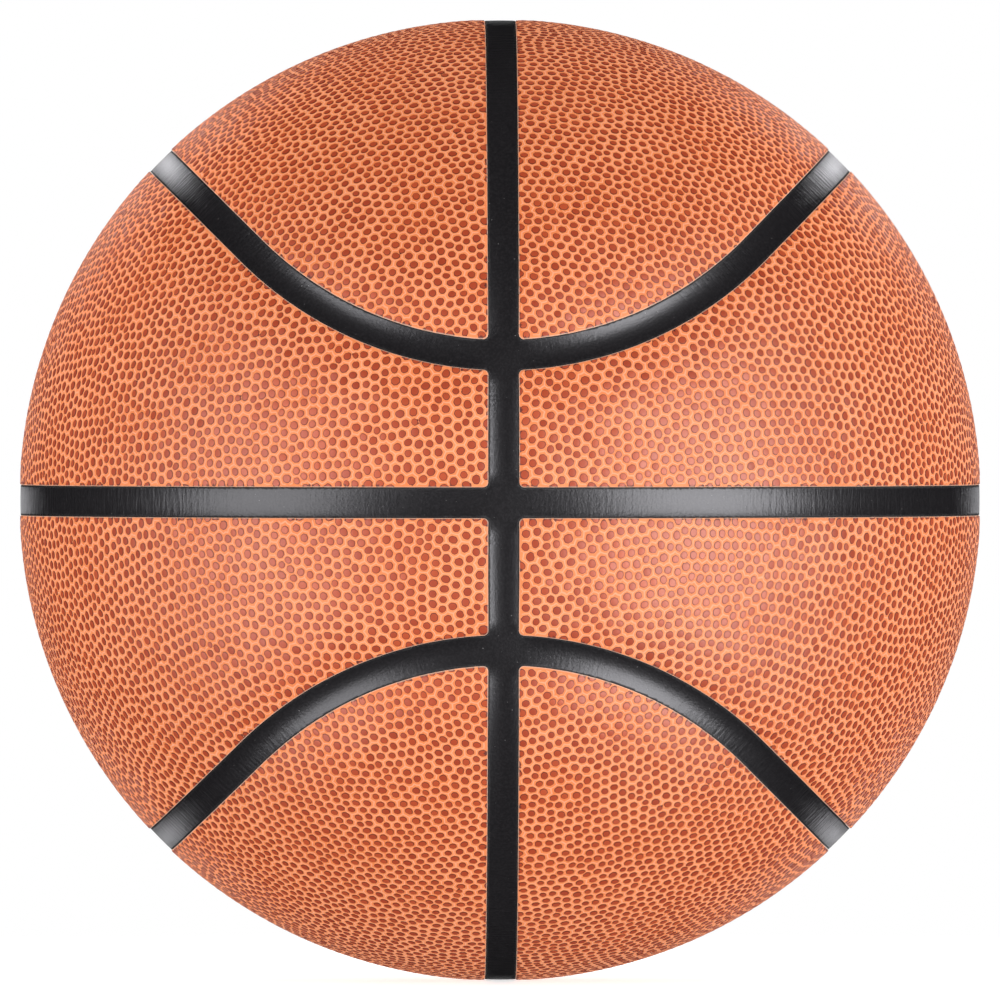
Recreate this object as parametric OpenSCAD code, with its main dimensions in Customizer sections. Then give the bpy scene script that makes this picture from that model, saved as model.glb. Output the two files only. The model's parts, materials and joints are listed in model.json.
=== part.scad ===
// Inflatable basketball: eight pebbled cover panels on a ribbed rubber carcass, over a thread winding,
// an air bladder and a needle valve. Millimetres, +Z up, origin at the ball's centre. The two straight
// seams cross at the front and at the back; the curved seams ring the top and the bottom.

/* [Ball] */
// Diameter over the cover panels when the ball is inflated
ball_d = 240; // [175:1:245]

/* [Seams] */
// Width of the channels between the cover panels
channel_w = 7.6; // [5:0.2:10]
// Depth of the channels, from the cover down to the rubber ribs in them
channel_depth = 0.8; // [0.3:0.1:1.3]
// Height of a curved seam's crown above or below the middle seam
crown_h = 36.8; // [30:0.2:42]
// Slope of the curved seams where they run out to the sides, in degrees
seam_angle = 45; // [40:1:50]
// Radius of the panels' corners where the seams cross
corner_r = 1.3; // [0.6:0.1:3]

/* [Layers] */
// Thickness of the cover panels
cover_t = 1.7; // [1.4:0.1:2.4]
// Thickness of the rubber carcass under the panels, without its ribs
carcass_t = 1.3; // [1:0.1:2.5]
// Thickness of the thread winding
winding_t = 0.6; // [0.4:0.1:1.2]
// Thickness of the bladder's wall
bladder_t = 0.6; // [0.4:0.1:1.2]
// Film of glue between one layer and the next
layer_gap = 0.1; // [0.05:0.05:0.3]
// Clearance beside the ribs and round the valve's pieces
edge_gap = 0.1; // [0.05:0.05:0.3]

/* [Valve] */
// Turn of the valve from straight back towards the right, in degrees
valve_turn = 18; // [14:1:24]
// Rise of the valve above the middle seam, in degrees
valve_lift = 11; // [9:1:13]
// Diameter of the rubber neck that shows in its panel
neck_d = 9; // [8.6:0.2:11]
// Depth of the neck's face below the cover
neck_recess = 0.3; // [0.1:0.1:0.6]
// Diameter of the flange that is bonded inside the bladder
flange_d = 26; // [20:1:32]
// Thickness of the flange
flange_t = 1.5; // [1:0.1:2.5]
// Diameter of the barrel that reaches into the bladder
barrel_d = 11; // [9.4:0.2:14]
// Length of the barrel below the flange
barrel_l = 14; // [10:0.5:20]
// Thickness of the barrel's floor
floor_t = 1.5; // [1:0.1:2.5]
// Diameter of the air port in the barrel's floor
port_d = 4; // [2.6:0.2:5]
// Diameter of the soft plug
plug_d = 6; // [5:0.2:6.4]
// Diameter of the plug's head
head_d = 7.4; // [6.8:0.2:7.8]
// Thickness of the plug's head
head_t = 1.6; // [1:0.1:2.4]
// Diameter of the passage that the inflating needle pushes through
needle_d = 2; // [1.4:0.1:2.4]

/* [Hidden] */
$fn = 96;

// Sides and levels that the panels are mirrored to
RIGHT = 1;
LEFT = -1;
ABOVE = 1;
BELOW = -1;

// Radii of the layers, from the cover inwards
cover_r = ball_d / 2;
rib_r = cover_r - channel_depth;
carcass_r = cover_r - cover_t - layer_gap;
carcass_inner_r = carcass_r - carcass_t;
winding_r = carcass_inner_r - layer_gap;
winding_inner_r = winding_r - winding_t;
bladder_r = winding_inner_r - layer_gap;
bladder_inner_r = bladder_r - bladder_t;

// Centre and radius of the arc that carries a curved seam's crown, tangent to its two straight runs
crown_c = crown_h / (1 - cos(seam_angle));
crown_r = crown_c - crown_h;

// Heights of the valve along its own axis, from the ball's centre
neck_face_r = cover_r - neck_recess;
flange_r = bladder_inner_r - layer_gap;
flange_inner_r = flange_r - flange_t;
barrel_end = flange_inner_r - barrel_l;
plug_end = barrel_end + floor_t + edge_gap;
head_seat = neck_face_r - head_t;

// Half the width of a seam at the panels' edges, and of the rib that stands in it
panel_edge = channel_w / 2;
rib_edge = panel_edge - edge_gap;

// Place of the middle of the round at the corners beside both straight seams
corner_c = panel_edge + corner_r;

// Length of anything that has to run past the whole ball
reach = ball_d;

// Vector of length 1 along v
function unit(v) = v / norm(v);

// Area inside the upper curved seam, seen from the front: a wedge with a round tip.
// edge is the distance from the seam's middle to the area's border.
module cap_area(edge) {
    arc_r = crown_r - edge;
    foot = [arc_r * sin(seam_angle), crown_c - arc_r * cos(seam_angle)];
    end = foot + reach * [cos(seam_angle), sin(seam_angle)];
    translate([0, crown_c])
        circle(r = arc_r);
    polygon([[-foot.x, foot.y], foot, end, [-end.x, end.y]]);
}

// Area to the right of the upright seam and above the middle seam
module quarter_area(edge) {
    translate([edge, edge])
        square(reach);
}

// Rounds the corner of an area at a circle that touches its two sides at foot_a and foot_b.
// What is cut away first reaches as far past the corner as the corner is from the circle's centre.
module round_corner(corner, centre, foot_a, foot_b) {
    difference() {
        children();
        polygon([2 * corner - centre, foot_a, centre, foot_b]);
    }
    translate(centre)
        circle(r = norm(foot_a - centre));
}

// Rounds the corner between the upright seam and the arc of radius arc_r round the crown's centre.
// The round stands at centre_r from there, so a shorter one lies inside the arc.
module round_crown_corner(edge, arc_r, centre_r) {
    middle = [0, crown_c];
    centre = middle + [corner_c, -sqrt(centre_r ^ 2 - corner_c ^ 2)];
    corner = middle + [edge, -sqrt(arc_r ^ 2 - edge ^ 2)];
    round_corner(corner, centre, [edge, centre.y], middle + arc_r * unit(centre - middle))
        children();
}

// Outline of a panel inside the curved seam
module cap_outline(edge) {
    round_crown_corner(edge, crown_r - edge, crown_r - corner_c)
        intersection() {
            quarter_area(edge);
            cap_area(edge);
        }
}

// Outline of a panel between the middle seam and the curved seam
module band_outline(edge) {
    round_corner([edge, edge], [corner_c, corner_c], [edge, corner_c], [corner_c, edge])
        round_crown_corner(edge, crown_r + edge, crown_r + corner_c)
            difference() {
                quarter_area(edge);
                cap_area(-edge);
            }
}

// Column through the ball, front to back, over an outline seen from the front
module column() {
    rotate([90, 0, 0])
        linear_extrude(height = reach, center = true)
            children();
}

// Moves what belongs above and to the right to another side and level
module placed(side, level) {
    mirror([side < 0 ? 1 : 0, 0, 0])
        mirror([0, 0, level < 0 ? 1 : 0])
            children();
}

// Hollow ball between two radii, with its poles where the straight seams cross
module shell(outer_r, inner_r) {
    rotate([90, 0, 0])
        difference() {
            sphere(r = outer_r);
            sphere(r = inner_r);
        }
}

// Puts what stands on +Z on the valve's axis
module on_valve_axis() {
    rotate([valve_lift - 90, 0, -valve_turn])
        children();
}

// Round hole for the valve's neck through a layer
module neck_hole() {
    on_valve_axis()
        cylinder(d = neck_d + 2 * edge_gap, h = reach);
}

// Layer of the ball inside a curved seam, between two radii
module cap_piece(outer_r, inner_r, edge) {
    intersection() {
        shell(outer_r, inner_r);
        column()
            cap_outline(edge);
    }
}

// Layer of the ball between the middle seam and a curved seam, between two radii
module band_piece(outer_r, inner_r, edge) {
    intersection() {
        shell(outer_r, inner_r);
        column()
            band_outline(edge);
    }
}

// Panel inside a curved seam, at the ball's top or bottom
module cap_panel(side, level) {
    color("chocolate")
        placed(side, level)
            cap_piece(cover_r, cover_r - cover_t, panel_edge);
}

// Panel between the middle seam and a curved seam
module band_panel(side, level) {
    color("chocolate")
        placed(side, level)
            band_piece(cover_r, cover_r - cover_t, panel_edge);
}

// The panel that the valve's neck comes through
module valve_panel() {
    color("chocolate")
        difference() {
            band_panel(RIGHT, ABOVE);
            neck_hole();
        }
}

// Rubber body under the panels. A pocket for each panel leaves the ribs that fill the channels.
module carcass() {
    color([0.1, 0.1, 0.11])
        difference() {
            shell(rib_r, carcass_inner_r);
            for (side = [LEFT, RIGHT], level = [ABOVE, BELOW])
                placed(side, level) {
                    cap_piece(cover_r, carcass_r, rib_edge);
                    band_piece(cover_r, carcass_r, rib_edge);
                }
            neck_hole();
        }
}

// Layer of wound thread that keeps the ball round
module thread_winding() {
    color("ivory")
        difference() {
            shell(winding_r, winding_inner_r);
            neck_hole();
        }
}

// Air-tight bladder
module bladder() {
    color([0.2, 0.2, 0.22])
        difference() {
            shell(bladder_r, bladder_inner_r);
            neck_hole();
        }
}

// Moulded rubber housing: flange under the bladder, neck out to the cover, barrel into the air space
module valve_housing() {
    color([0.14, 0.14, 0.15])
        on_valve_axis()
            difference() {
                union() {
                    intersection() {
                        shell(flange_r, flange_inner_r);
                        cylinder(d = flange_d, h = reach);
                    }
                    intersection() {
                        sphere(r = neck_face_r);
                        translate([0, 0, flange_inner_r])
                            cylinder(d = neck_d, h = reach);
                    }
                    translate([0, 0, barrel_end])
                        cylinder(d = barrel_d, h = flange_inner_r + flange_t / 2 - barrel_end);
                }
                translate([0, 0, plug_end - edge_gap])
                    cylinder(d = plug_d + 2 * edge_gap, h = reach);
                translate([0, 0, head_seat - edge_gap])
                    cylinder(d = head_d + 2 * edge_gap, h = reach);
                cylinder(d = port_d, h = reach);
            }
}

// Soft plug that closes round the inflating needle
module valve_plug() {
    color([0.25, 0.25, 0.26])
        on_valve_axis()
            difference() {
                intersection() {
                    sphere(r = neck_face_r);
                    union() {
                        translate([0, 0, plug_end])
                            cylinder(d = plug_d, h = reach);
                        translate([0, 0, head_seat])
                            cylinder(d = head_d, h = reach);
                    }
                }
                cylinder(d = needle_d, h = reach);
            }
}

cap_panel(LEFT, ABOVE);  // top_panel_left
cap_panel(RIGHT, ABOVE);  // top_panel_right
band_panel(LEFT, ABOVE);  // upper_panel_left
valve_panel();  // upper_panel_right
band_panel(LEFT, BELOW);  // lower_panel_left
band_panel(RIGHT, BELOW);  // lower_panel_right
cap_panel(LEFT, BELOW);  // bottom_panel_left
cap_panel(RIGHT, BELOW);  // bottom_panel_right
carcass();
thread_winding();
bladder();
valve_housing();
valve_plug();
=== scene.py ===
import json
import math

import bpy
import numpy as np
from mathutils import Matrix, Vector
from mathutils.geometry import delaunay_2d_cdt

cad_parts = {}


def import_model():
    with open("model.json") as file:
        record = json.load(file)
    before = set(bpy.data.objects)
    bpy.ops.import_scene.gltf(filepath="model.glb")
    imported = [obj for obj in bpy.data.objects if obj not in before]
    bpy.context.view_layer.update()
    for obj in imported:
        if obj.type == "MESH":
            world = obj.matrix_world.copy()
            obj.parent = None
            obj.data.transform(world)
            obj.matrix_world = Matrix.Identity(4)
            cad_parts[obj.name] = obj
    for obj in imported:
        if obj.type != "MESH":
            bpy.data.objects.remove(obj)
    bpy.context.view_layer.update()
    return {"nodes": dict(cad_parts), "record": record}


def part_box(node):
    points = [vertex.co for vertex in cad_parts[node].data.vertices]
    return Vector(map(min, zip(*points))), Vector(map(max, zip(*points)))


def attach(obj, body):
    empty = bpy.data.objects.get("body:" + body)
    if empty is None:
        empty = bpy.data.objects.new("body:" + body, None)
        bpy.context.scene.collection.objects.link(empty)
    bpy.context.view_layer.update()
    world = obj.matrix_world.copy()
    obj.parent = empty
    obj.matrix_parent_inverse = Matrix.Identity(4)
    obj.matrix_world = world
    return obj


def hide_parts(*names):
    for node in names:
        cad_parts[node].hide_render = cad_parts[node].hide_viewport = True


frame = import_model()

MM = 0.001
MOUNTS = {mount["name"]: mount for mount in frame["record"]["mounts"]}
FRONT = np.array([0.0, -1.0, 0.0])
UP = np.array([0.0, 0.0, 1.0])

# How far past the ball's middle a sheet's points may lie, by its radius
PAST_MIDDLE = 0.2

# The ball's size and the panels' edges come from the frame
BALL_R = -MOUNTS["rest_point"]["pos_m"][2]
PANEL_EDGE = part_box("upper_panel_right")[0].x

# Seams, as the frame's source has them
CROWN_H = 36.8 * MM
SEAM_ANGLE = math.radians(45)
CORNER_R = 1.3 * MM
EDGE_GAP = 0.1 * MM
CROWN_C = CROWN_H / (1 - math.cos(SEAM_ANGLE))
CROWN_R = CROWN_C - CROWN_H
CORNER_C = PANEL_EDGE + CORNER_R

# Middle of the crown's arc and way of the straight run after it, seen from the front
CROWN_MIDDLE = np.array([0, CROWN_C])
SEAM_RUN = np.array([math.cos(SEAM_ANGLE), math.sin(SEAM_ANGLE)])

# Layers
COVER_T = 1.7 * MM
LAYER_GAP = 0.1 * MM
CARCASS_R = BALL_R - COVER_T - LAYER_GAP
CARCASS_T = 1.3 * MM
WINDING_R = CARCASS_R - CARCASS_T - LAYER_GAP
WINDING_T = 0.6 * MM

# Panels: rows from the top down with their kind and level, sides, and where each kind of panel lies,
# seen from the ball's centre, in the quarter to the right and above
ROWS = (("top", "cap", 1), ("upper", "band", 1), ("lower", "band", -1), ("bottom", "cap", -1))
SIDES = {"left": -1, "right": 1}
PANEL_CENTRE = {"cap": (0.42, 0, 0.91), "band": (0.93, 0, 0.37)}
VALVE_PANEL = "upper_panel_right"
PANEL_SEED = 11

# Pebbles: distance between two, height, and share of its cell that a pebble's foot fills
PEBBLE_PITCH = {"cap": 2.74 * MM, "band": 2.87 * MM}
PEBBLE_H = 0.22 * MM
FOOT_SHARE = 0.67
SHOULDER_SHARE = 0.78
SHOULDER_H_SHARE = 0.85
WEB_H = 0.17 * MM
FLAT_TOP_SHARE = 0.85
TOP_TILT = 0.05
SIZE_RANGE = (0.93, 1.05)
LIFT_RANGE = (0.88, 1.0)

# How far a foot reaches: parts from its cell's border there, from the cell's mean and from the usual mean,
# how slim it is and how much it stretches along one way, and the most of its cell that it fills
BORDER_PART = 0.35
CELL_PART = 0.3
USUAL_PART = 0.35
SLIM = 0.95
STRETCH = 0.16
FOOT_LIMIT = 0.87

# Lattice of pebbles: rounds that even it out, and then, in pitches, its shake, the least distance
# between two, and how far past the border it runs, moves and shows
RELAX_ROUNDS = 2
SHAKE = 0.18
LEAST_GAP = 0.66
LATTICE_MARGIN = 2.5
FREE_MARGIN = 1.2
SHOWN_MARGIN = 0.15

# How the cover sinks towards the seams, and the bevel at its edge
CURVED_SINK = 1.0 * MM
CURVED_REACH = 15 * MM
STRAIGHT_SINK = 0.16 * MM
STRAIGHT_REACH = 6.5 * MM
FULL_SINK_SHARE = 0.6
SINK_SHADE = 1.9
NORMAL_STEP = 0.4 * MM
BEVEL_W = 0.28 * MM
BEVEL_H = 0.10 * MM
BEVEL_DROP = 0.12 * MM
RIM_CLEARANCE = 0.16 * MM

# Ribs of the carcass that show in the channels
RIB_EDGE = PANEL_EDGE - EDGE_GAP
RIB_LEAN = 0.02 * MM
RIB_DEPTH = 0.3 * MM
RIB_ROUND = 0.03 * MM
RIB_HOLLOW = 0.36
RIB_MARGIN = 0.55 * MM

# Thread winding under the carcass
YARN_W = 7 * MM
YARN_TURNS = 46
YARN_MARGIN = 1 * MM
YARN_H_RANGE = (0.6, 1)
YARN_SEED = 5

# Spacing of points along borders, round their corners, on the ribs, on the yarn and on hidden faces
EDGE_STEP = 0.62 * MM
CORNER_STEP = 0.26 * MM
RIB_STEP = 0.8 * MM
YARN_STEP = 1.9 * MM
COARSE_STEP = 7 * MM
COARSE_MARGIN = 3 * MM
PATH_SAMPLES = 1200
SEAM_SAMPLES = 3000

# Valve: radii, and heights along its axis from the ball's centre
VALVE_AXIS = np.array(MOUNTS["needle_bore"]["axis"])
NEEDLE_R = MOUNTS["needle_bore"]["dims"]["r_mm"] * MM
VALVE_STEPS = 60
NECK_RECESS = 0.3 * MM
FACE_R = BALL_R - NECK_RECESS
NECK_R = 4.5 * MM
HOLE_R = NECK_R + EDGE_GAP
FLANGE_R = 13 * MM
FLANGE_TOP = 115.4 * MM
FLANGE_T = 1.5 * MM
BARREL_R = 5.5 * MM
BARREL_END = 99.9 * MM
BARREL_FLOOR_T = 1.5 * MM
PORT_R = 2 * MM
PLUG_R = 3 * MM
HEAD_R = 3.7 * MM
HEAD_T = 1.6 * MM


# Vectors on the ball

def unit(v):
    """Vectors of length 1 along v, row by row."""
    v = np.asarray(v, float)
    return v / np.linalg.norm(v, axis=-1, keepdims=True)


def tangents(centre):
    """Two directions square to centre and to each other."""
    askew = [0.31, -0.22, 0.93]
    side = unit(np.cross(askew, centre))
    return side, np.cross(centre, side)


def even_ball(gap, pole, side):
    """Points in an even spiral over the whole ball, round the pole."""
    count = int(4 * math.pi / (math.sqrt(0.75) * (gap / BALL_R) ** 2))
    k = np.arange(count) + 0.5
    height = 1 - 2 * k / count
    turn = k * math.pi * (3 - math.sqrt(5))
    ring = np.sqrt(1 - height ** 2)
    across = np.cross(pole, side)
    return BALL_R * (np.outer(ring * np.cos(turn), side) + np.outer(ring * np.sin(turn), across)
                     + np.outer(height, pole))


def facing(points, centre):
    """Which points lie on centre's side of the ball, or a little past it."""
    return points @ centre > -PAST_MIDDLE * BALL_R


def nearest(points, places):
    """For each point on the ball, the number of the nearest of some places on it."""
    parts = np.array_split(points, len(points) // 1000 + 1)
    return np.concatenate([np.argmax(part @ places.T, axis=1) for part in parts])


def chart(points, centre):
    """Flat places of points on the ball, as seen from the far side of centre."""
    d = unit(points)
    a, b = tangents(centre)
    k = BALL_R * 2 / (1 + d @ centre)
    return np.stack([k * (d @ a), k * (d @ b)], axis=1)


def within(flat, polygon):
    """Which of the flat points lie inside a polygon."""
    x, y = flat.T
    inside = np.zeros(len(flat), bool)
    for (ax, ay), (bx, by) in zip(polygon, np.roll(polygon, -1, axis=0)):
        if ay != by:
            inside ^= ((ay > y) != (by > y)) & (x < ax + (y - ay) * (bx - ax) / (by - ay))
    return inside


def triangulate(points, centre, loops=()):
    """Triangles over points on the ball, inside the first loop and outside the others."""
    flat = chart(points, centre)
    borders = [[int(n) for n in loop] for loop in loops]
    edges = [pair for border in borders for pair in zip(border, border[1:] + border[:1])]
    verts, _, faces, *_ = delaunay_2d_cdt([Vector(p) for p in flat.tolist()], edges, [], 0, 1e-9, False)
    if len(verts) != len(flat):
        raise ValueError("two points of a sheet lie on each other")
    faces = np.array(faces)
    for number, border in enumerate(borders):
        spans = np.isin(faces, border).all(axis=1)
        inside = within(flat[faces[spans]].mean(axis=1), flat[border])
        spans[spans] = inside if number else ~inside
        faces = faces[~spans]
    a, b, c = (flat[faces[:, i]] for i in range(3))
    area = (b[:, 0] - a[:, 0]) * (c[:, 1] - a[:, 1]) - (b[:, 1] - a[:, 1]) * (c[:, 0] - a[:, 0])
    faces[area < 0] = faces[area < 0][:, ::-1]
    return faces


# Seams seen from the front, in the quarter to the right and above

def line(start, end):
    """Points of a straight stretch, by the share of it that is passed, and their spacing."""
    return lambda t: start + (end - start) * t[:, None], EDGE_STEP


def arc(centre, radius, start, end):
    """Points of an arc between two angles, by the share of it that is passed, and their spacing."""
    def points(t):
        a = start + (end - start) * t
        return centre + radius * np.stack([np.cos(a), np.sin(a)], axis=1)
    return points, EDGE_STEP if radius > 2 * CORNER_C else CORNER_STEP


def limb(foot, direction):
    """Where a straight run from foot leaves the ball's outline."""
    b = foot @ direction
    return foot + direction * (math.sqrt(b * b - foot @ foot + BALL_R ** 2) - b)


def arc_end(radius):
    """Where an arc round the crown's middle turns into its straight run."""
    return CROWN_MIDDLE + radius * np.array([SEAM_RUN[1], -SEAM_RUN[0]])


def crown_corner(reach):
    """Middle of the round beside the upright seam, at a reach and an angle from the crown's middle."""
    place = np.array([CORNER_C, -math.sqrt(reach ** 2 - CORNER_C ** 2)])
    return CROWN_MIDDLE + place, math.atan2(place[1], place[0])


def cap_path(edge):
    """Border of a panel inside the curved seam, at a distance from the seams' middles."""
    radius = CROWN_R - edge
    foot = arc_end(radius)
    corner, turn = crown_corner(CROWN_R - CORNER_C)
    return [
        line(np.array([edge, math.sqrt(BALL_R ** 2 - edge ** 2)]), np.array([edge, corner[1]])),
        arc(corner, CORNER_C - edge, -math.pi, turn),
        arc(CROWN_MIDDLE, radius, turn, SEAM_ANGLE - math.pi / 2),
        line(foot, limb(foot, SEAM_RUN)),
    ]


def band_path(edge):
    """Border of a panel between the middle seam and the curved seam."""
    radius = CROWN_R + edge
    foot = arc_end(radius)
    corner, turn = crown_corner(CROWN_R + CORNER_C)
    return [
        line(limb(foot, SEAM_RUN), foot),
        arc(CROWN_MIDDLE, radius, SEAM_ANGLE - math.pi / 2, turn),
        arc(corner, CORNER_C - edge, turn + math.pi, math.pi),
        line(np.array([edge, corner[1]]), np.array([edge, CORNER_C])),
        arc(np.array([CORNER_C, CORNER_C]), CORNER_C - edge, -math.pi, -math.pi / 2),
        line(np.array([CORNER_C, edge]), np.array([math.sqrt(BALL_R ** 2 - edge ** 2), edge])),
    ]


def on_front(flat):
    """Places on the ball's front of points seen from the front."""
    depth = np.sqrt(np.maximum(BALL_R ** 2 - (flat ** 2).sum(axis=1), 0))
    return np.stack([flat[:, 0], -depth, flat[:, 1]], axis=1)


def path_points(path, t):
    """Points of a border on the ball's front; t counts its stretches."""
    out = np.zeros((len(t), 2))
    which = np.minimum(t.astype(int), len(path) - 1)
    for i, (stretch, _) in enumerate(path):
        out[which == i] = stretch(t[which == i] - i)
    return on_front(out)


def even_steps(path):
    """Counts along a border that put its points evenly on the ball, closer at the corners."""
    ease = (1 - np.cos(np.linspace(0, math.pi, PATH_SAMPLES, endpoint=False))) / 2
    t = np.concatenate([i + ease for i in range(len(path))] + [[len(path)]])
    length = np.linalg.norm(np.diff(path_points(path, t), axis=0), axis=1)
    spacing = np.repeat([step for _, step in path], len(ease))
    passed = np.concatenate([[0], np.cumsum(length / spacing)])
    count = int(round(passed[-1]))
    return np.interp(np.linspace(0, passed[-1], count + 1), passed, t)


def closed_loop(path, t):
    """The border's front and its mirror image at the back, as one closed loop."""
    front = path_points(path, t)
    front[[0, -1], 1] = 0
    back = front[-2:0:-1] * [1, -1, 1]
    return np.concatenate([front, back])


# Distances from the seams, along the ball's surface

def curved_distance(points):
    """Distance below the curved seam's middle, seen from the front, and its share of the surface's."""
    x, _, z = unit(points).T * BALL_R
    below = z - CROWN_C
    reach = np.hypot(x, below)
    on_arc = x * SEAM_RUN[0] + below * SEAM_RUN[1] < 0
    flat = np.where(on_arc, reach - CROWN_R, x * SEAM_RUN[1] - z * SEAM_RUN[0])
    gx = np.where(on_arc, x / reach, SEAM_RUN[1])
    gz = np.where(on_arc, below / reach, -SEAM_RUN[0])
    along = gx * x / BALL_R + gz * z / BALL_R
    # Where the surface turns away from the view, the share doesn't fall to nothing
    least = 0.05
    return flat, np.sqrt(np.maximum(1 - along ** 2, least))


def upright_distance(points):
    """Distance to the right of the upright seam's middle."""
    return BALL_R * np.arcsin(unit(points)[:, 0])


def middle_distance(points):
    """Distance above the middle seam's middle."""
    return BALL_R * np.arcsin(unit(points)[:, 2])


def with_corner(a, b):
    """Distance inside a corner of two borders that are a and b away, with the corner rounded."""
    near = (a < CORNER_R) & (b < CORNER_R)
    return np.where(near, CORNER_R - np.hypot(CORNER_R - a, CORNER_R - b), np.minimum(a, b))


def cap_inside(points):
    """Distance inside the border of a panel that lies within the curved seam."""
    flat, share = curved_distance(points)
    return with_corner(upright_distance(points) - PANEL_EDGE, (-flat - PANEL_EDGE) / share)


def band_inside(points):
    """Distance inside the border of a panel between the middle seam and the curved seam."""
    flat, share = curved_distance(points)
    upright = upright_distance(points) - PANEL_EDGE
    curved = (flat - PANEL_EDGE) / share
    middle = middle_distance(points) - PANEL_EDGE
    return np.minimum(with_corner(upright, curved), with_corner(upright, middle))


PATHS = {"cap": cap_path, "band": band_path}
INSIDES = {"cap": cap_inside, "band": band_inside}


def fade(distance, reach):
    """1 at a border, falling smoothly to 0 at reach."""
    return (1 - np.clip(distance / reach, 0, 1)) ** 2


def curved_sink(points):
    """How far the surface sinks towards the curved seams: most at the front and back, not at the sides."""
    flat, share = curved_distance(points)
    middle = np.clip(np.abs(unit(points)[:, 1]) / FULL_SINK_SHARE, 0, 1)
    near = fade((np.abs(flat) - PANEL_EDGE) / share, CURVED_REACH)
    return CURVED_SINK * middle ** 2 * (3 - 2 * middle) * near


def ground_radius(points):
    """Radius of the cover's ground between the pebbles."""
    straight = np.minimum(upright_distance(points), middle_distance(points)) - PANEL_EDGE
    sink = np.hypot(curved_sink(points), STRAIGHT_SINK * fade(straight, STRAIGHT_REACH))
    return BALL_R - PEBBLE_H - sink


def ground_normals(points):
    """Normals that the cover would have without its pebbles."""
    outward = unit(points)
    nearly_back = [0.02, 1.0, 0.03]
    side = unit(np.cross(outward, nearly_back))
    normals = outward.copy()
    for across in (side, np.cross(outward, side)):
        before = ground_radius(outward * BALL_R - NORMAL_STEP * across)
        after = ground_radius(outward * BALL_R + NORMAL_STEP * across)
        normals -= across * (SINK_SHADE * (after - before) / (2 * NORMAL_STEP))[:, None]
    return unit(normals)


# Pebbles

def circumcentres(a, b, c):
    """Centres of the circles through triangles' corners."""
    ab, ac = b - a, c - a
    n = np.cross(ab, ac)
    top = (ac * ac).sum(1)[:, None] * np.cross(n, ab) + (ab * ab).sum(1)[:, None] * np.cross(ac, n)
    return a + top / (2 * (n * n).sum(1)[:, None])


def relaxed(points, centre, free):
    """Evens out free points until their triangles are near equal, and keeps the rest in place."""
    for _ in range(RELAX_ROUNDS):
        tri = triangulate(points, centre)
        a, b, c = (points[tri[:, i]] for i in range(3))
        area = np.linalg.norm(np.cross(b - a, c - a), axis=1)
        goal = (circumcentres(a, b, c) + (a + b + c) / 3) / 2 * area[:, None]
        total, weight = np.zeros_like(points), np.zeros(len(points))
        for i in range(3):
            np.add.at(total, tri[:, i], goal)
            np.add.at(weight, tri[:, i], area)
        moved = BALL_R * unit(total / np.maximum(weight, 1e-12)[:, None])
        points = np.where(free[:, None], moved, points)
    return points


def sides_of(tri):
    """The two corners of each side of each triangle."""
    return np.concatenate([tri[:, [0, 1]], tri[:, [1, 2]], tri[:, [2, 0]]])


def thinned(points, centre, gap):
    """Points without those that lie nearer than gap to another one that stays."""
    pairs = sides_of(triangulate(points, centre))
    length = np.linalg.norm(points[pairs[:, 0]] - points[pairs[:, 1]], axis=1)
    stays = np.ones(len(points), bool)
    for first, second in pairs[length < gap]:
        if stays[first]:
            stays[second] = False
    return points[stays]


def pebble_centres(centre, inside, pitch, rng):
    """Centres of a panel's pebbles: a spiral lattice, shaken and evened out, past the border too."""
    a, b = tangents(centre)
    swing = rng.uniform(0, 2 * math.pi)
    points = even_ball(pitch, a * math.cos(swing) + b * math.sin(swing), centre)
    near = points[(inside(points) > -LATTICE_MARGIN * pitch) & facing(points, centre)]
    near = BALL_R * unit(near + rng.normal(0, SHAKE * pitch, near.shape))
    near = relaxed(near, centre, inside(near) > -FREE_MARGIN * pitch)
    near = thinned(near, centre, LEAST_GAP * pitch)
    return relaxed(near, centre, inside(near) > -FREE_MARGIN * pitch)


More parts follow.
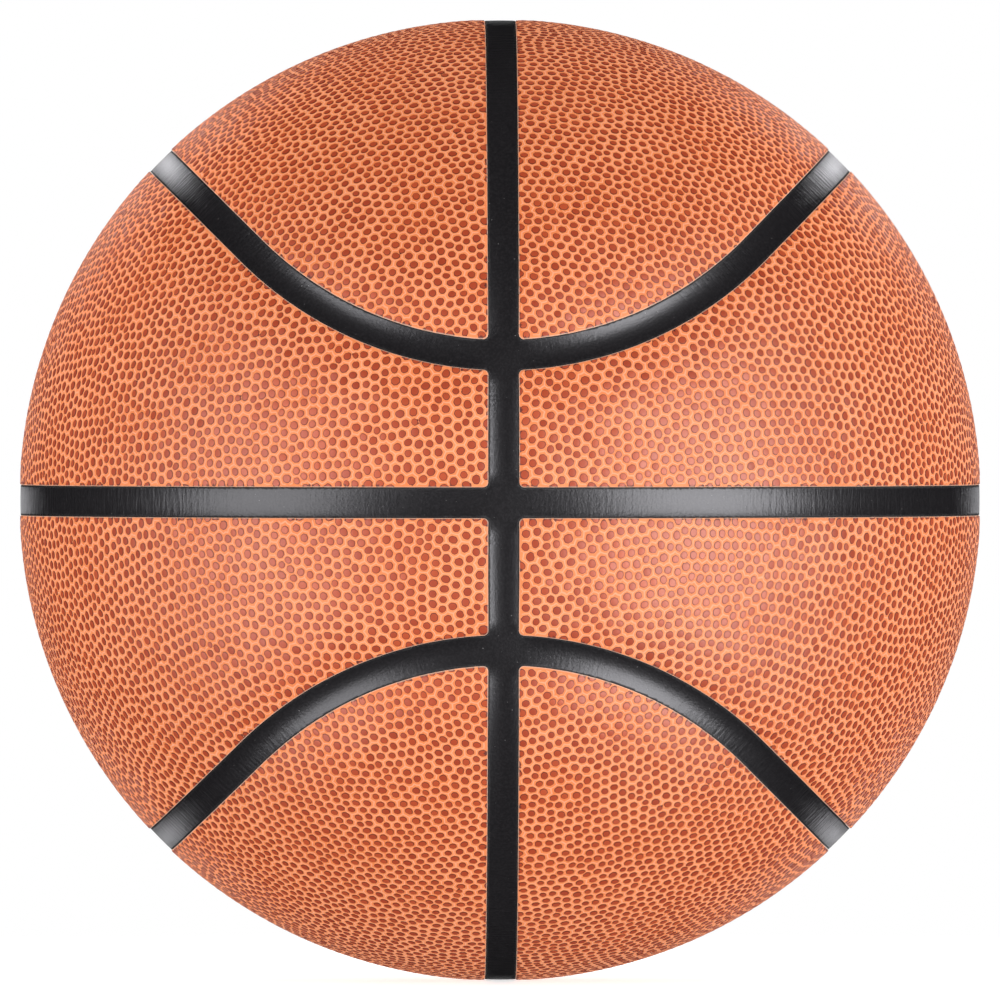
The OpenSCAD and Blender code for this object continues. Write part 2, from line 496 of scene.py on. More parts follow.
def pebble_field(centres, centre, inside, pitch, rng):
    """Points, heights and marks of a pebbled sheet, before it is cut to the panel's border."""
    count = len(centres)
    tri = triangulate(centres, centre)
    pairs = sides_of(tri)
    used = inside(centres) > -SHOWN_MARGIN * pitch
    corners = BALL_R * unit(centres[tri].mean(axis=1))
    middles = BALL_R * unit(centres[pairs].mean(axis=1))
    owner = np.concatenate([tri.T.reshape(-1), pairs[:, 0]])
    away = np.concatenate([np.tile(corners, (3, 1)), middles]) - centres[owner]
    reach = np.linalg.norm(away, axis=1)
    mean = np.bincount(owner, reach, count) / np.maximum(np.bincount(owner, minlength=count), 1)

    size = FOOT_SHARE * rng.uniform(*SIZE_RANGE, count)
    longer = unit(rng.normal(size=centres.shape))[owner]
    lean = (longer * away).sum(axis=1) / reach
    foot = BORDER_PART * reach + CELL_PART * mean[owner] + USUAL_PART * np.median(mean[used])
    foot = np.minimum(size[owner] * foot * (SLIM + STRETCH * lean ** 2), FOOT_LIMIT * reach)
    tone = rng.uniform(0, 1, count)
    lift = PEBBLE_H * rng.uniform(*LIFT_RANGE, count)
    tilt = rng.normal(0, TOP_TILT, centres.shape)

    own = owner[used[owner]]
    out = (away * (foot / reach)[:, None])[used[owner]]
    web_middles = (pairs[:, 0] < pairs[:, 1]) & used[pairs].any(axis=1)
    web = np.concatenate([corners[used[tri].any(axis=1)], middles[web_middles]])
    parts = [
        # points, height, pebble, web, tone and tilt of the tops, shoulders and feet, and of the web
        (centres[used], lift[used], 1, 0, tone[used], tilt[used]),
        (centres[own] + SHOULDER_SHARE * out, SHOULDER_H_SHARE * lift[own], 1, 0, tone[own], tilt[own]),
        (centres[own] + out, 0, 0, 0, tone[own], (0, 0, 0)),
        (web, WEB_H, 0, 1, 0.5, (0, 0, 0)),
    ]
    field = {}
    for name, values in zip(("points", "height", "pebble", "web", "tone", "tilt"), zip(*parts)):
        width = (3,) if name in ("points", "tilt") else ()
        rows = [np.broadcast_to(value, (len(part[0]), *width)) for value, part in zip(values, parts)]
        field[name] = np.concatenate(rows).astype(float)
    field["points"] = BALL_R * unit(field["points"])
    field["centres"] = centres[used]
    field["foot_r"] = (size * mean)[used]
    field["centre_tone"] = tone[used]
    return field


# Meshes

def new_mesh_object(name, vertices, faces, marks=None):
    """Object from numpy arrays of vertices, triangles and named marks on the vertices."""
    mesh = bpy.data.meshes.new(name)
    mesh.vertices.add(len(vertices))
    mesh.vertices.foreach_set("co", np.asarray(vertices, np.float32).reshape(-1))
    mesh.loops.add(len(faces) * 3)
    mesh.loops.foreach_set("vertex_index", np.asarray(faces, np.int32).reshape(-1))
    mesh.polygons.add(len(faces))
    mesh.polygons.foreach_set("loop_start", np.arange(0, len(faces) * 3, 3, dtype=np.int32))
    mesh.polygons.foreach_set("use_smooth", np.ones(len(faces), bool))
    mesh.update(calc_edges=True)
    mesh.validate()
    for key, values in (marks or {}).items():
        mark = mesh.attributes.new(key, "FLOAT", "POINT")
        mark.data.foreach_set("value", np.asarray(values, np.float32))
    ob = bpy.data.objects.new(name, mesh)
    bpy.context.scene.collection.objects.link(ob)
    return ob


def flatten_normals(ob, goal, share):
    """Turns a mesh's smooth normals towards other ones, by a share for each vertex."""
    normals = np.zeros(len(goal) * 3, np.float32)
    ob.data.vertex_normals.foreach_get("vector", normals)
    normals = normals.reshape(-1, 3) * (1 - share)[:, None] + goal * share[:, None]
    ob.data.normals_split_custom_set_from_vertices(unit(normals))


def strip(first, second):
    """Triangles between two closed loops of vertex numbers of equal length."""
    a, b = np.asarray(first), np.asarray(second)
    c, d = np.roll(b, -1), np.roll(a, -1)
    return np.concatenate([np.stack([a, b, c], 1), np.stack([a, c, d], 1)])


class Skin:
    """Points round the ball with their radii and marks, and the triangles between them."""

    def __init__(self, *marks):
        self.places, self.radii, self.faces = [], [], []
        self.marks = {key: [] for key in marks}
        self.total = 0

    def add(self, places, radius, **marks):
        """Adds points at a radius, with the marks that aren't 0 there, and returns their numbers."""
        count = len(places)
        self.places.append(places)
        self.radii.append(np.full(count, radius))
        for key, values in self.marks.items():
            values.append(np.full(count, marks.get(key, 0.0)))
        self.total += count
        return np.arange(self.total - count, self.total)

    def join(self, faces, inwards):
        """Takes faces that look outwards, and turns them round where they should look inwards."""
        self.faces.append(faces[:, ::-1] if inwards else faces)

    def sheet(self, centre, numbers, loops, inwards=False):
        """Covers points and the loops round them, inside the first loop and outside the others."""
        used = np.concatenate([numbers, *loops])
        local = np.zeros(self.total, int)
        local[used] = np.arange(len(used))
        places = np.concatenate(self.places)[used]
        self.join(used[triangulate(places, centre, [local[loop] for loop in loops])], inwards)

    def wall(self, first, second, inwards=False):
        """Joins two loops of equal length."""
        self.join(strip(first, second), inwards)

    def lining(self, ring, radius):
        """Closes a shell with an inner face at a radius, from the outer ring round the valve's hole."""
        inner = self.add(off_valve(even_ball(COARSE_STEP, FRONT, UP), COARSE_MARGIN), radius)
        inner_ring = self.add(valve_ring(HOLE_R, radius), radius)
        self.sheet(-VALVE_AXIS, inner, [inner_ring], inwards=True)
        self.wall(ring, inner_ring)

    def to_object(self, name, mirror=(1, 1, 1)):
        """Mesh object of the skin, on another side and level where mirror says so."""
        vertices = unit(np.concatenate(self.places)) * np.concatenate(self.radii)[:, None] * mirror
        faces = np.concatenate(self.faces)
        if np.prod(mirror) < 0:
            faces = faces[:, ::-1]
        marks = {key: np.concatenate(values) for key, values in self.marks.items()}
        return new_mesh_object(name, vertices, faces, marks)


def round_valve(radii, heights):
    """Rings of points round the valve's axis, one for each radius and height."""
    a, b = tangents(VALVE_AXIS)
    turn = np.linspace(0, 2 * math.pi, VALVE_STEPS, endpoint=False)
    ring = np.outer(np.cos(turn), a) + np.outer(np.sin(turn), b)
    return np.concatenate([VALVE_AXIS * h + ring * r for r, h in zip(radii, heights)])


def valve_ring(radius, at):
    """Directions, on the ball, to a ring of that radius round the valve where it passes a layer."""
    return BALL_R * unit(round_valve([radius], [math.sqrt(at ** 2 - radius ** 2)]))


def valve_distance(points):
    """Distance from the valve's axis, endless on the ball's other half."""
    places = unit(points) * BALL_R
    along = places @ VALVE_AXIS
    beside = np.linalg.norm(places - np.outer(along, VALVE_AXIS), axis=1)
    return np.where(along > 0, beside, math.inf)


def off_valve(points, margin):
    """Points that lie further than a margin from the valve's hole."""
    return points[valve_distance(points) > HOLE_R + margin]


def coarse_points(kind, has_valve):
    """An even scatter inside a kind of panel's border, for a face that doesn't show."""
    points = even_ball(COARSE_STEP, FRONT, UP)
    inside = INSIDES[kind](points) > COARSE_MARGIN
    points = points[inside & facing(points, unit(PANEL_CENTRE[kind]))]
    return off_valve(points, COARSE_MARGIN) if has_valve else points


# Cover

def rim_rings(skin, inner, outer, field):
    """Rings of a panel's bevel and cut edge, from its face down to its underside."""
    which = nearest(inner, field["centres"])
    gap = np.linalg.norm(inner - field["centres"][which], axis=1) / field["foot_r"][which]
    on = np.clip((1 - gap) / (1 - SHOULDER_SHARE), 0, 1)
    rise = on * SHOULDER_H_SHARE * PEBBLE_H
    edge = ground_radius(outer) - BEVEL_H + 0.5 * rise
    tone = field["centre_tone"][which]
    # The rim mark on the bevel's rings makes the leather paler there: partly the cover's paler cut edge,
    # partly a painted highlight
    return [
        skin.add(inner, ground_radius(inner) + rise, pebble=on, tone=tone),
        skin.add(outer, edge, pebble=0.5 * on, tone=tone, rim=1.0),
        skin.add(outer, edge - BEVEL_DROP, tone=tone, rim=1.0, cut=1.0),
        skin.add(outer, BALL_R - COVER_T, tone=tone, cut=1.0),
    ]


def panel(name, kind, side, level, seed):
    """A pebbled cover panel, closed all round, over the node of its name."""
    rng = np.random.default_rng(seed)
    path_of = PATHS[kind]
    inside = INSIDES[kind]
    pitch = PEBBLE_PITCH[kind]
    centre = unit(PANEL_CENTRE[kind])
    has_valve = name == VALVE_PANEL

    centres = pebble_centres(centre, inside, pitch, rng)
    field = pebble_field(centres, centre, inside, pitch, rng)
    keep = inside(field["points"]) > BEVEL_W + RIM_CLEARANCE
    if has_valve:
        keep &= valve_distance(field["points"]) > HOLE_R + BEVEL_W + RIM_CLEARANCE
    points = field["points"][keep]
    marks = {key: field[key][keep] for key in ("pebble", "web", "tone")}
    skin = Skin("pebble", "web", "tone", "rim", "cut")
    face = skin.add(points, ground_radius(points) + field["height"][keep], **marks)

    t = even_steps(path_of(PANEL_EDGE))
    border = closed_loop(path_of(PANEL_EDGE + BEVEL_W), t), closed_loop(path_of(PANEL_EDGE), t)
    rims = [rim_rings(skin, *border, field)]
    if has_valve:
        hole = valve_ring(HOLE_R + BEVEL_W, BALL_R), valve_ring(HOLE_R, BALL_R - COVER_T)
        rims.append(rim_rings(skin, *hole, field))
    under = skin.add(coarse_points(kind, has_valve), BALL_R - COVER_T, cut=1.0)
    skin.sheet(centre, face, [rings[0] for rings in rims])
    skin.sheet(centre, under, [rings[-1] for rings in rims], inwards=True)
    for number, rings in enumerate(rims):
        for upper, lower in zip(rings, rings[1:]):
            skin.wall(upper, lower, inwards=number > 0)

    mirror = np.array([side, 1, level])
    ob = skin.to_object(name + "_pebbled", mirror)
    places = np.concatenate(skin.places)
    tilt = np.zeros_like(places)
    tilt[face] = field["tilt"][keep]
    flat_top = FLAT_TOP_SHARE * np.concatenate(skin.marks["pebble"])
    flatten_normals(ob, unit(ground_normals(places) + tilt) * mirror, flat_top)
    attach(ob, "root")
    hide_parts(name)
    return ob


# Carcass

def fold(points):
    """Mirrors points into the quarter to the right and above."""
    return np.abs(points) * [1, 0, 1] + points * [0, 1, 0]


def seam_lines():
    """Points along the middles of the upright seam, the middle seam and the two curved seams."""
    turn = np.linspace(0, 2 * math.pi, SEAM_SAMPLES, endpoint=False)
    level = np.zeros_like(turn)
    foot = arc_end(CROWN_R)
    crown = arc(CROWN_MIDDLE, CROWN_R, -math.pi / 2, SEAM_ANGLE - math.pi / 2)
    path = [crown, line(foot, limb(foot, SEAM_RUN))]
    right = path_points(path, even_steps(path))
    front = np.concatenate([right[:0:-1] * [-1, 1, 1], right])
    front[[0, -1], 1] = 0
    curved = np.concatenate([front, front[-2:0:-1] * [1, -1, 1]])
    return [
        BALL_R * np.stack([level, -np.cos(turn), np.sin(turn)], axis=1),
        BALL_R * np.stack([np.sin(turn), -np.cos(turn), level], axis=1),
        curved,
        curved * [1, 1, -1],
    ]


def beside_seam(points, seam):
    """For each point: its distance from a seam, its run along it, how far beside it, and the way across."""
    ahead = unit(np.roll(seam, -1, axis=0) - seam)
    passed = np.concatenate([[0], np.cumsum(np.linalg.norm(np.diff(seam, axis=0), axis=1))])
    at = nearest(points, seam)
    away = points - seam[at]
    step = (away * ahead[at]).sum(axis=1)
    across = np.cross(unit(seam), ahead)[at]
    gap = np.linalg.norm(away - ahead[at] * step[:, None], axis=1)
    return gap, passed[at] + step, (away * across).sum(axis=1), across


def along_seams(points):
    """For each point: its run along the nearest seam, how far beside it, which seam that is,
    the room to the next seam, and the way across."""
    columns = zip(*(beside_seam(points, seam) for seam in seam_lines()))
    gap, run, beside, across = (np.array(column) for column in columns)
    which = np.argmin(gap, axis=0)
    each = np.arange(len(points))
    room = np.partition(gap, 1, axis=0)[1]
    return run[which, each], beside[which, each], which, room, across[which, each]


def rib_radius(points):
    """Radius of the ribs' outer face, which follows the panels' sinking."""
    return np.maximum(BALL_R - RIB_DEPTH - curved_sink(fold(points)), CARCASS_R + EDGE_GAP)


def rib_normals(places, beside, room, across):
    """Normals of ribs that are hollowed a little along their middle, between the crossings."""
    hollow = RIB_HOLLOW * np.clip(beside / PANEL_EDGE, -1, 1) * np.clip(room / PANEL_EDGE - 1, 0, 1)
    return unit(unit(places) - hollow[:, None] * across)


def pocket_rims(skin, kind, side, level):
    """Top and foot of the rib round a panel's pocket, as two loops."""
    path_of = PATHS[kind]
    t = even_steps(path_of(RIB_EDGE))
    loops = [closed_loop(path_of(edge), t) * [side, 1, level] for edge in (RIB_EDGE, RIB_EDGE + RIB_LEAN)]
    top, foot = (loop[::side * level] for loop in loops)
    # Both loops carry the edge mark, where the rubber is painted near-black as shade beside the panels'
    # walls
    return (skin.add(top, rib_radius(top) - RIB_ROUND, edge=1.0, shown=1.0),
            skin.add(foot, CARCASS_R, edge=1.0))


def carcass():
    """Rubber body with its ribs, closed all round, over the node of its name."""
    skin = Skin("edge", "shown")
    scatter = even_ball(RIB_STEP, FRONT, UP)
    quarter = fold(scatter)
    scatter = scatter[np.maximum(cap_inside(quarter), band_inside(quarter)) < -RIB_MARGIN]
    face = skin.add(scatter, rib_radius(scatter), shown=1.0)
    pockets = [(kind, side, level) for side in (1, -1) for level in (1, -1) for kind in ("cap", "band")]
    rims = [pocket_rims(skin, *pocket) for pocket in pockets]

    # The ribs' face is laid flat from the far side of the last pocket, so that pocket's rim is its border
    kind, side, level = pockets[-1]
    tops = [top for top, _ in rims]
    skin.sheet(-unit(PANEL_CENTRE[kind]) * [side, 1, level], face, tops[-1:] + tops[:-1])
    for (kind, side, level), (top, foot) in zip(pockets, rims):
        loops = [foot]
        has_valve = (kind, side, level) == ("band", 1, 1)
        if has_valve:
            ring = skin.add(valve_ring(HOLE_R, CARCASS_R), CARCASS_R)
            loops.append(ring)
        mirror = np.array([side, 1, level])
        base = skin.add(coarse_points(kind, has_valve) * mirror, CARCASS_R)
        skin.sheet(unit(PANEL_CENTRE[kind]) * mirror, base, loops)
        skin.wall(top, foot, inwards=True)
    skin.lining(ring, CARCASS_R - CARCASS_T)

    places = np.concatenate(skin.places)
    run, beside, seam, room, across = along_seams(places)
    shown = np.concatenate(skin.marks.pop("shown"))
    skin.marks.update(run=[run / MM], beside=[beside / MM], seam=[seam], room=[room / MM])
    ob = skin.to_object("ribbed_carcass")
    flatten_normals(ob, rib_normals(places, beside, room, across), shown)
    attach(ob, "root")
    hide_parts("carcass")
    return ob


# Valve

def on_sphere(radius, beside):
    """Height along the valve's axis of a ball's surface, beside the axis."""
    return math.sqrt(radius ** 2 - beside ** 2)


def turned(name, profile):
    """Closed mesh of a profile of (radius, height) points turned round the valve's axis."""
    radii, heights = np.array(profile).T
    rings = [np.arange(VALVE_STEPS) + i * VALVE_STEPS for i in range(len(profile))]
    faces = np.concatenate([strip(b, a) for a, b in zip(rings, rings[1:] + rings[:1])])
    ob = new_mesh_object(name, round_valve(radii, heights), faces)
    ob.data.set_sharp_from_angle(angle=math.radians(50))
    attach(ob, "root")
    return ob


def valve_housing():
    """Neck with a raised lip, flange and barrel, over the node of its name."""
    lip = 0.35 * MM
    soft = 0.12 * MM
    bore_r = HEAD_R + EDGE_GAP
    under = FLANGE_TOP - FLANGE_T
    profile = [
        (bore_r + soft, on_sphere(FACE_R, bore_r)),
        (bore_r + soft / 2, on_sphere(FACE_R, bore_r) - soft),
        (bore_r, on_sphere(FACE_R, bore_r) - lip),
        (bore_r, FACE_R - HEAD_T - EDGE_GAP),
        (PLUG_R + EDGE_GAP, FACE_R - HEAD_T - EDGE_GAP),
        (PLUG_R + EDGE_GAP, BARREL_END + BARREL_FLOOR_T),
        (PORT_R, BARREL_END + BARREL_FLOOR_T),
        (PORT_R, BARREL_END),
        (BARREL_R - lip, BARREL_END),
        (BARREL_R - soft, BARREL_END + soft),
        (BARREL_R, BARREL_END + lip),
        (BARREL_R, on_sphere(under, BARREL_R) - 2 * lip),
        (BARREL_R + soft, on_sphere(under, BARREL_R) - soft),
        (BARREL_R + 2 * lip, on_sphere(under, BARREL_R + 2 * lip)),
        (2 * NECK_R, on_sphere(under, 2 * NECK_R)),
        (FLANGE_R - lip, on_sphere(under, FLANGE_R - lip)),
        (FLANGE_R - soft, on_sphere(under, FLANGE_R) + soft),
        (FLANGE_R, on_sphere(under, FLANGE_R) + lip),
        (FLANGE_R, on_sphere(FLANGE_TOP, FLANGE_R) - lip),
        (FLANGE_R - soft, on_sphere(FLANGE_TOP, FLANGE_R) - soft),
        (FLANGE_R - lip, on_sphere(FLANGE_TOP, FLANGE_R - lip)),
        (2 * NECK_R, on_sphere(FLANGE_TOP, 2 * NECK_R)),
        (NECK_R + 3 * lip, on_sphere(FLANGE_TOP, NECK_R + 3 * lip)),
        (NECK_R + lip, on_sphere(FLANGE_TOP, NECK_R) + soft),
        (NECK_R, on_sphere(FLANGE_TOP, NECK_R) + 2 * lip),
        (NECK_R, on_sphere(FACE_R, NECK_R) - lip),
        (NECK_R - soft, on_sphere(FACE_R, NECK_R) - soft),
        (NECK_R - lip, on_sphere(FACE_R, NECK_R)),
    ]
    ob = turned("moulded_valve_housing", profile)
    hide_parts("valve_housing")
    return ob


def valve_plug():
    """Soft plug with a dimple round the needle's passage, over the node of its name."""
    lip = 0.4 * MM
    soft = 0.12 * MM
    seat = FACE_R - HEAD_T
    end = BARREL_END + BARREL_FLOOR_T + EDGE_GAP
    profile = [
        (NEEDLE_R, end),
        (PLUG_R - lip, end),
        (PLUG_R, end + lip),
        (PLUG_R, seat),
        (HEAD_R, seat),
        (HEAD_R, on_sphere(FACE_R, HEAD_R) - lip),
        (HEAD_R - soft, on_sphere(FACE_R, HEAD_R) - soft),
        (HEAD_R - lip, on_sphere(FACE_R, HEAD_R - lip)),
        (2 * NEEDLE_R, on_sphere(FACE_R, 2 * NEEDLE_R)),
        (NEEDLE_R + 2 * lip, FACE_R - soft / 2),
        (NEEDLE_R + lip, FACE_R - 2 * soft),
        (NEEDLE_R + soft, FACE_R - lip),
        (NEEDLE_R, FACE_R - 2 * lip),
    ]
    ob = turned("soft_valve_plug", profile)
    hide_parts("valve_plug")
    return ob


# Winding

def thread_winding():
    """Yarn wound round the bladder along great circles, as a closed shell over the node of its name."""
    rng = np.random.default_rng(YARN_SEED)
    outer = off_valve(even_ball(YARN_STEP, FRONT, UP), YARN_MARGIN)
    relief = np.zeros(len(outer))
    for axis in unit(rng.normal(size=(YARN_TURNS, 3))):
        beside = BALL_R * np.arcsin(np.clip(unit(outer) @ axis, -1, 1))
        hump = np.clip(1 - (2 * beside / YARN_W) ** 2, 0, 1)
        relief = np.maximum(relief, np.sqrt(hump) * rng.uniform(*YARN_H_RANGE))

    skin = Skin()
    wound = skin.add(outer, WINDING_R - (1 - relief) * WINDING_T / 2)
    ring = skin.add(valve_ring(HOLE_R, WINDING_R), WINDING_R - WINDING_T / 4)
    skin.sheet(-VALVE_AXIS, wound, [ring])
    skin.lining(ring, WINDING_R - WINDING_T)
    ob = skin.to_object("yarn_winding")
    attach(ob, "root")
    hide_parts("thread_winding")
    return ob


# Materials

def srgb(red, green, blue):
    """Shader colour of a display colour from 0 to 255."""
    shares = [c / 255 for c in (red, green, blue)]
    return [((c + 0.055) / 1.055) ** 2.4 if c > 0.04 else c / 12.92 for c in shares] + [1]


def new_material(name, **surface):
    """A material, its node tree's adder, and its surface shader with some inputs set."""
    material = bpy.data.materials.new(name)
    material.use_nodes = True
    shader = material.node_tree.nodes["Principled BSDF"]
    for key, value in surface.items():
        shader.inputs[key.replace("_", " ").title().replace("Ior", "IOR")].default_value = value
    return material, adder(material.node_tree), shader


def adder(tree):
    """A function that adds a node to the tree, with inputs set to values or joined to outputs."""
    def add(kind, inputs=None, out=0, **settings):
        node = tree.nodes.new("ShaderNode" + kind)
        for key, value in settings.items():
            setattr(node, key, value)
        for key, value in (inputs or {}).items():
            join(value, node.inputs[key])
        return node.outputs[out]
    return add


def join(value, socket):
    """Sets an input to a value, or links it to an output."""
    if isinstance(value, bpy.types.NodeSocket):
        socket.id_data.links.new(value, socket)
    else:
        socket.default_value = value


def mix(add, share, first, second):
    """Colour between two colours."""
    return add("Mix", {0: share, 6: first, 7: second}, out=2, data_type="RGBA")


def ramp(add, value, low, high, start=0.0, end=1.0):
    """Value scaled from low..high to start..end, smoothly and without leaving them."""
    inputs = {"Value": value, "From Min": low, "From Max": high, "To Min": start, "To Max": end}
    return add("MapRange", inputs, interpolation_type="SMOOTHSTEP")


def calc(add, operation, first, second):
    """Result of a sum with two values."""
    return add("Math", {0: first, 1: second}, operation=operation)


def noise(add, scale, detail=3.0, vector=None):
    """Noise over the object's own metres, or over another vector."""
    place = vector or add("TexCoord", out=3)
    return add("TexNoise", {"Scale": scale, "Detail": detail, "Vector": place})


def mark(add, name):
    """A named mark of the mesh's vertices."""
    return add("Attribute", out=2, attribute_name=name)


def bump(add, height, strength, distance):
    """Normal of a surface with a fine relief."""
    return add("Bump", {"Height": height, "Strength": strength, "Distance": distance})


def pebbled_leather():
    """Tanned cover: brown pebble tops with painted shade on their sides, a lighter ground between them, a
    pale line round each cell, and a paler bevel that is partly a painted highlight.
    """
    material, add, shader = new_material("pebbled_leather", specular_ior_level=0.42)
    pebble, web, tone = mark(add, "pebble"), mark(add, "web"), mark(add, "tone")
    blotch, grain = noise(add, 60.0), noise(add, 2600.0)
    top = mix(add, tone, srgb(173, 60, 22), srgb(195, 78, 33))
    top = mix(add, ramp(add, blotch, 0.35, 0.7, 0.0, 0.5), top, srgb(168, 55, 18))
    ground = mix(add, ramp(add, blotch, 0.3, 0.7), srgb(244, 133, 70), srgb(252, 147, 88))
    # Painted shade: the pebbles' sides, from foot to shoulder, are coloured much darker than their tops
    colour = mix(add, ramp(add, pebble, 0.02, 0.25), ground, srgb(98, 17, 1))
    colour = mix(add, ramp(add, pebble, 0.7, 1.0), colour, top)
    colour = mix(add, ramp(add, web, 0.62, 0.95, 0.0, 0.7), colour, srgb(255, 186, 150))
    # Partly painted highlight: the bevel round each panel is paler, as its cut edge is and as it catches
    # the light
    colour = mix(add, calc(add, "MULTIPLY", mark(add, "rim"), 0.8), colour, srgb(255, 212, 186))
    colour = mix(add, ramp(add, mark(add, "cut"), 0.3, 0.7), colour, srgb(60, 34, 24))
    join(colour, shader.inputs["Base Color"])
    shader.inputs["Specular Tint"].default_value = (1.0, 0.96, 0.85, 1)
    join(ramp(add, pebble, 0.5, 1.0, 0.68, 0.46), shader.inputs["Roughness"])
    join(bump(add, grain, 0.35, 0.05 * MM), shader.inputs["Normal"])
    return material


def carcass_rubber():
    """Black rubber with specks of dust, fine wrinkles that cross the channels, and painted shade along the
    ribs' edges.
    """
    material, add, shader = new_material("carcass_rubber", specular_ior_level=0.4)
    run, beside, seam, room = (mark(add, name) for name in ("run", "beside", "seam", "room"))
    place = add("CombineXYZ", {
        "X": calc(add, "MULTIPLY", run, 0.9),
        "Y": calc(add, "MULTIPLY", beside, 0.14),
        "Z": calc(add, "MULTIPLY", seam, 37.0),
    })
    wrinkle = noise(add, 1.0, 5.0, place)
    speck = noise(add, 1300.0, 2.0)
    dust = noise(add, 1700.0, 2.0)
    edge = ramp(add, mark(add, "edge"), 0.3, 0.85)
    colour = mix(add, ramp(add, dust, 0.35, 0.75), srgb(27, 26, 29), srgb(38, 37, 40))
    colour = mix(add, ramp(add, speck, 0.73, 0.79), colour, srgb(130, 130, 132))
    # Painted shade: a near-black, rough line along the ribs' edges, beside the panels' walls
    colour = mix(add, edge, colour, srgb(8, 8, 9))
    join(colour, shader.inputs["Base Color"])
    join(ramp(add, edge, 0.0, 1.0, 0.31, 0.8), shader.inputs["Roughness"])
    depth = calc(add, "ADD", ramp(add, room, 4.0, 8.0, 0.0, 0.5), ramp(add, room, 35.0, 90.0, 0.0, 2.0))
    height = calc(add, "ADD", calc(add, "MULTIPLY", wrinkle, depth), calc(add, "MULTIPLY", dust, 0.5))
    join(bump(add, height, 0.4, 0.22 * MM), shader.inputs["Normal"])
    return material


def moulded_rubber(name, base, worn, roughness):
    """Plain moulded rubber, a little blotched."""
    material, add, shader = new_material(name, roughness=roughness, specular_ior_level=0.4)
    join(mix(add, ramp(add, noise(add, 150.0), 0.4, 0.7), base, worn), shader.inputs["Base Color"])
    join(bump(add, noise(add, 1800.0), 0.3, 0.06 * MM), shader.inputs["Normal"])
    return material


def yarn():
    """Pale nylon yarn with fine fibres."""
    material, add, shader = new_material("winding_yarn", roughness=0.7, specular_ior_level=0.3)
    fibre = noise(add, 900.0, 6.0)
    colour = mix(add, ramp(add, fibre, 0.35, 0.65), srgb(205, 196, 176), srgb(236, 230, 214))
    join(colour, shader.inputs["Base Color"])
    join(bump(add, fibre, 0.6, 0.15 * MM), shader.inputs["Normal"])
    return material


def paint(objects, material):
    """Gives objects a material."""
    for ob in objects:
        ob.data.materials.clear()
        ob.data.materials.append(material)


# Studio

# Camera: its distance, its degrees to the right and up, and the sizes in the photograph's pixels
# of the ball's outline and of half the frame
CAMERA_D = 9.0
CAMERA_TURN = (-0.45, 0.33)
OUTLINE_R_PX = 480.8
HALF_FRAME_PX = 500

# Surroundings, in metres from the ball's centre and by the angle from straight in front
DARK_ROOM_R = 2.6
DARK_ROOM_TILTS = (0.02, math.radians(168))
FLOOR_R = 0.7
FLOOR_FADE = (0.35 * FLOOR_R, 0.95 * FLOOR_R)
FLOOR_GLOW = 0.72
FLOOR_STEPS = 96
AMBIENT = (0.61, 0.565, 0.54, 1)
WHITE = (1, 1, 1, 1)
GLEAM_COLOUR = (0.97, 0.96, 1.0)
SOFTBOXES = (
    # name, azimuth to the camera's right and elevation in degrees, distance, width, height, radiance
    ("left_fill", -48, -3, 1.6, 0.62, 1.1, 4.3),
    ("right_fill", 46, -5, 1.6, 0.66, 1.1, 5.0),
    ("left_back_fill", -130, 10, 1.6, 0.62, 1.1, 2.8),
    ("right_back_fill", 130, 10, 1.6, 0.66, 1.1, 2.8),
    ("top_fill", 180, 65, 1.6, 0.8, 0.8, 3.2),
    ("bounce_fill", 180, -65, 1.6, 0.8, 0.8, 2.6),
    ("left_gleam", -58, -6, 1.7, 1.3, 2.2, 6.2),
    ("right_gleam", 48, -6, 1.7, 1.35, 2.2, 10.6),
    ("upper_left_rim_gleam", -158, 20, 1.7, 0.4, 0.4, 4.4),
    ("upper_right_rim_gleam", 158, 20, 1.7, 0.4, 0.4, 4.8),
    ("left_rim_gleam", -160, 0, 1.7, 0.3, 0.3, 1.8),
    ("right_rim_gleam", 160, 0, 1.7, 0.3, 0.3, 1.5),
    ("lower_left_rim_gleam", -158, -20, 1.7, 0.4, 0.4, 2.0),
    ("lower_right_rim_gleam", 158, -20, 1.7, 0.4, 0.4, 2.3),
)


def around(azimuth, elevation, distance):
    """Place at that many degrees to the right of straight in front and above the ball's centre."""
    a, e = math.radians(azimuth), math.radians(elevation)
    return distance * Vector((math.sin(a) * math.cos(e), -math.cos(a) * math.cos(e), math.sin(e)))


def placed(name, data, *at):
    """Object at a place round the ball, turned to the ball's centre."""
    ob = bpy.data.objects.new(name, data)
    bpy.context.scene.collection.objects.link(ob)
    ob.location = around(*at)
    ob.rotation_euler = (-ob.location).to_track_quat("-Z", "Y").to_euler()
    return ob


def camera():
    """Long lens straight in front, framed so that the ball's outline is as large as in the photograph."""
    data = bpy.data.cameras.new("camera")
    data.sensor_width = 36
    half_frame = math.tan(math.asin(BALL_R / CAMERA_D)) / (OUTLINE_R_PX / HALF_FRAME_PX)
    data.lens = data.sensor_width / 2 / half_frame
    bpy.context.scene.camera = placed("camera", data, *CAMERA_TURN, CAMERA_D)


def softboxes():
    """Lamps that nobody sees: fills light the ball, and gleams show only in its gloss."""
    for name, azimuth, elevation, distance, width, height, radiance in SOFTBOXES:
        data = bpy.data.lights.new(name, "AREA")
        data.shape = "RECTANGLE"
        data.size, data.size_y = width, height
        data.energy = radiance * math.pi * width * height
        data.color = GLEAM_COLOUR if "gleam" in name else WHITE[:3]
        ob = placed(name, data, azimuth, elevation, distance)
        ob.visible_camera = False
        ob.visible_diffuse = "fill" in name
        ob.visible_glossy = "gleam" in name


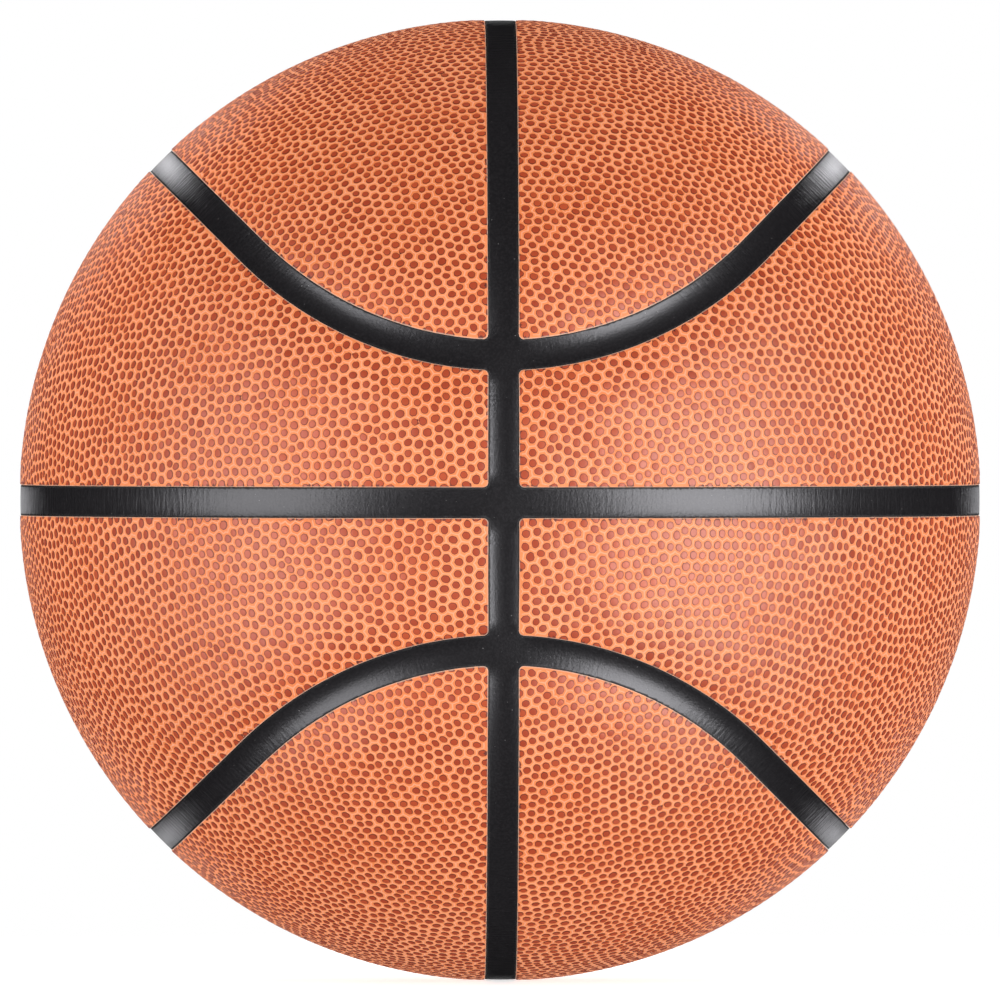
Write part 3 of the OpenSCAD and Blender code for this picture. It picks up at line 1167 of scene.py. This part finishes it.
def world():
    """White to the eye, by way of gloss and glass too, and a soft grey light from all round."""
    scene_world = bpy.data.worlds.new("studio")
    scene_world.use_nodes = True
    tree = scene_world.node_tree
    add = adder(tree)
    rays = add("LightPath").node.outputs
    seen = calc(add, "MAXIMUM", rays["Is Camera Ray"], rays["Is Glossy Ray"])
    seen = calc(add, "MAXIMUM", seen, rays["Is Transmission Ray"])
    join(mix(add, seen, AMBIENT, WHITE), tree.nodes["Background"].inputs["Color"])
    bpy.context.scene.world = scene_world


def dark_room():
    """Dark cloth that only gloss shows, all round but straight behind, where the white backdrop stays."""
    turns, rows = 48, 16
    turn = np.linspace(0, 2 * math.pi, turns, endpoint=False)
    rings = []
    for tilt in np.linspace(*DARK_ROOM_TILTS, rows):
        across, along = math.sin(tilt), -math.cos(tilt)
        ring = [np.cos(turn) * across, np.full(turns, along), np.sin(turn) * across]
        rings.append(np.stack(ring, axis=1) * DARK_ROOM_R)
    numbers = [np.arange(turns) + i * turns for i in range(rows)]
    faces = np.concatenate([strip(a, b) for a, b in zip(numbers, numbers[1:])])
    ob = new_mesh_object("dark_room", np.concatenate(rings), faces)
    ob.visible_camera = ob.visible_diffuse = ob.visible_shadow = ob.visible_transmission = False
    cloth = {"base_color": srgb(16, 16, 17), "roughness": 1.0, "specular_ior_level": 0.0}
    material, _, _ = new_material("dark_cloth", **cloth)
    paint([ob], material)


def floor():
    """Pale disc under the ball that keeps its shadow and fades out into the white."""
    turn = np.linspace(0, 2 * math.pi, FLOOR_STEPS, endpoint=False)
    rim = np.stack([np.cos(turn), np.sin(turn), 0 * turn], axis=1) * FLOOR_R
    vertices = np.concatenate([rim, [[0, 0, 0]]]) - [0, 0, BALL_R]
    steps = np.arange(FLOOR_STEPS)
    faces = np.stack([steps, np.roll(steps, -1), np.full(FLOOR_STEPS, FLOOR_STEPS)], axis=1)
    ob = new_mesh_object("floor", vertices, faces)
    ob.visible_shadow = ob.visible_diffuse = ob.visible_glossy = False
    paper = {"base_color": srgb(235, 235, 235), "roughness": 0.9, "specular_ior_level": 0.1}
    material, add, shader = new_material("pale_floor", emission_color=WHITE, **paper)
    rays = add("LightPath").node.outputs
    seen = calc(add, "MAXIMUM", rays["Is Camera Ray"], rays["Is Transmission Ray"])
    join(calc(add, "MULTIPLY", seen, FLOOR_GLOW), shader.inputs["Emission Strength"])
    away = add("VectorMath", {0: add("TexCoord", out=3)}, out=1, operation="LENGTH")
    faded = ramp(add, away, *FLOOR_FADE)
    blend = add("MixShader", {0: faded, 1: shader.outputs[0], 2: add("BsdfTransparent")})
    join(blend, material.node_tree.nodes["Material Output"].inputs["Surface"])
    paint([ob], material)


body = carcass()
panels = []
for side, direction in SIDES.items():
    for row, kind, level in ROWS:
        seed = PANEL_SEED + len(panels)
        panels.append(panel(f"{row}_panel_{side}", kind, direction, level, seed))
housing = valve_housing()
plug = valve_plug()
winding = thread_winding()
bladder = frame["nodes"]["bladder"]

paint(panels, pebbled_leather())
paint([body], carcass_rubber())
paint([housing], moulded_rubber("valve_rubber", srgb(30, 30, 32), srgb(46, 46, 49), 0.5))
paint([plug], moulded_rubber("plug_rubber", srgb(48, 47, 49), srgb(66, 65, 67), 0.55))
paint([bladder], moulded_rubber("bladder_rubber", srgb(38, 38, 42), srgb(54, 54, 60), 0.5))
paint([winding], yarn())

camera()
softboxes()
world()
dark_room()
floor()
bpy.context.scene.view_settings.view_transform = "Standard"
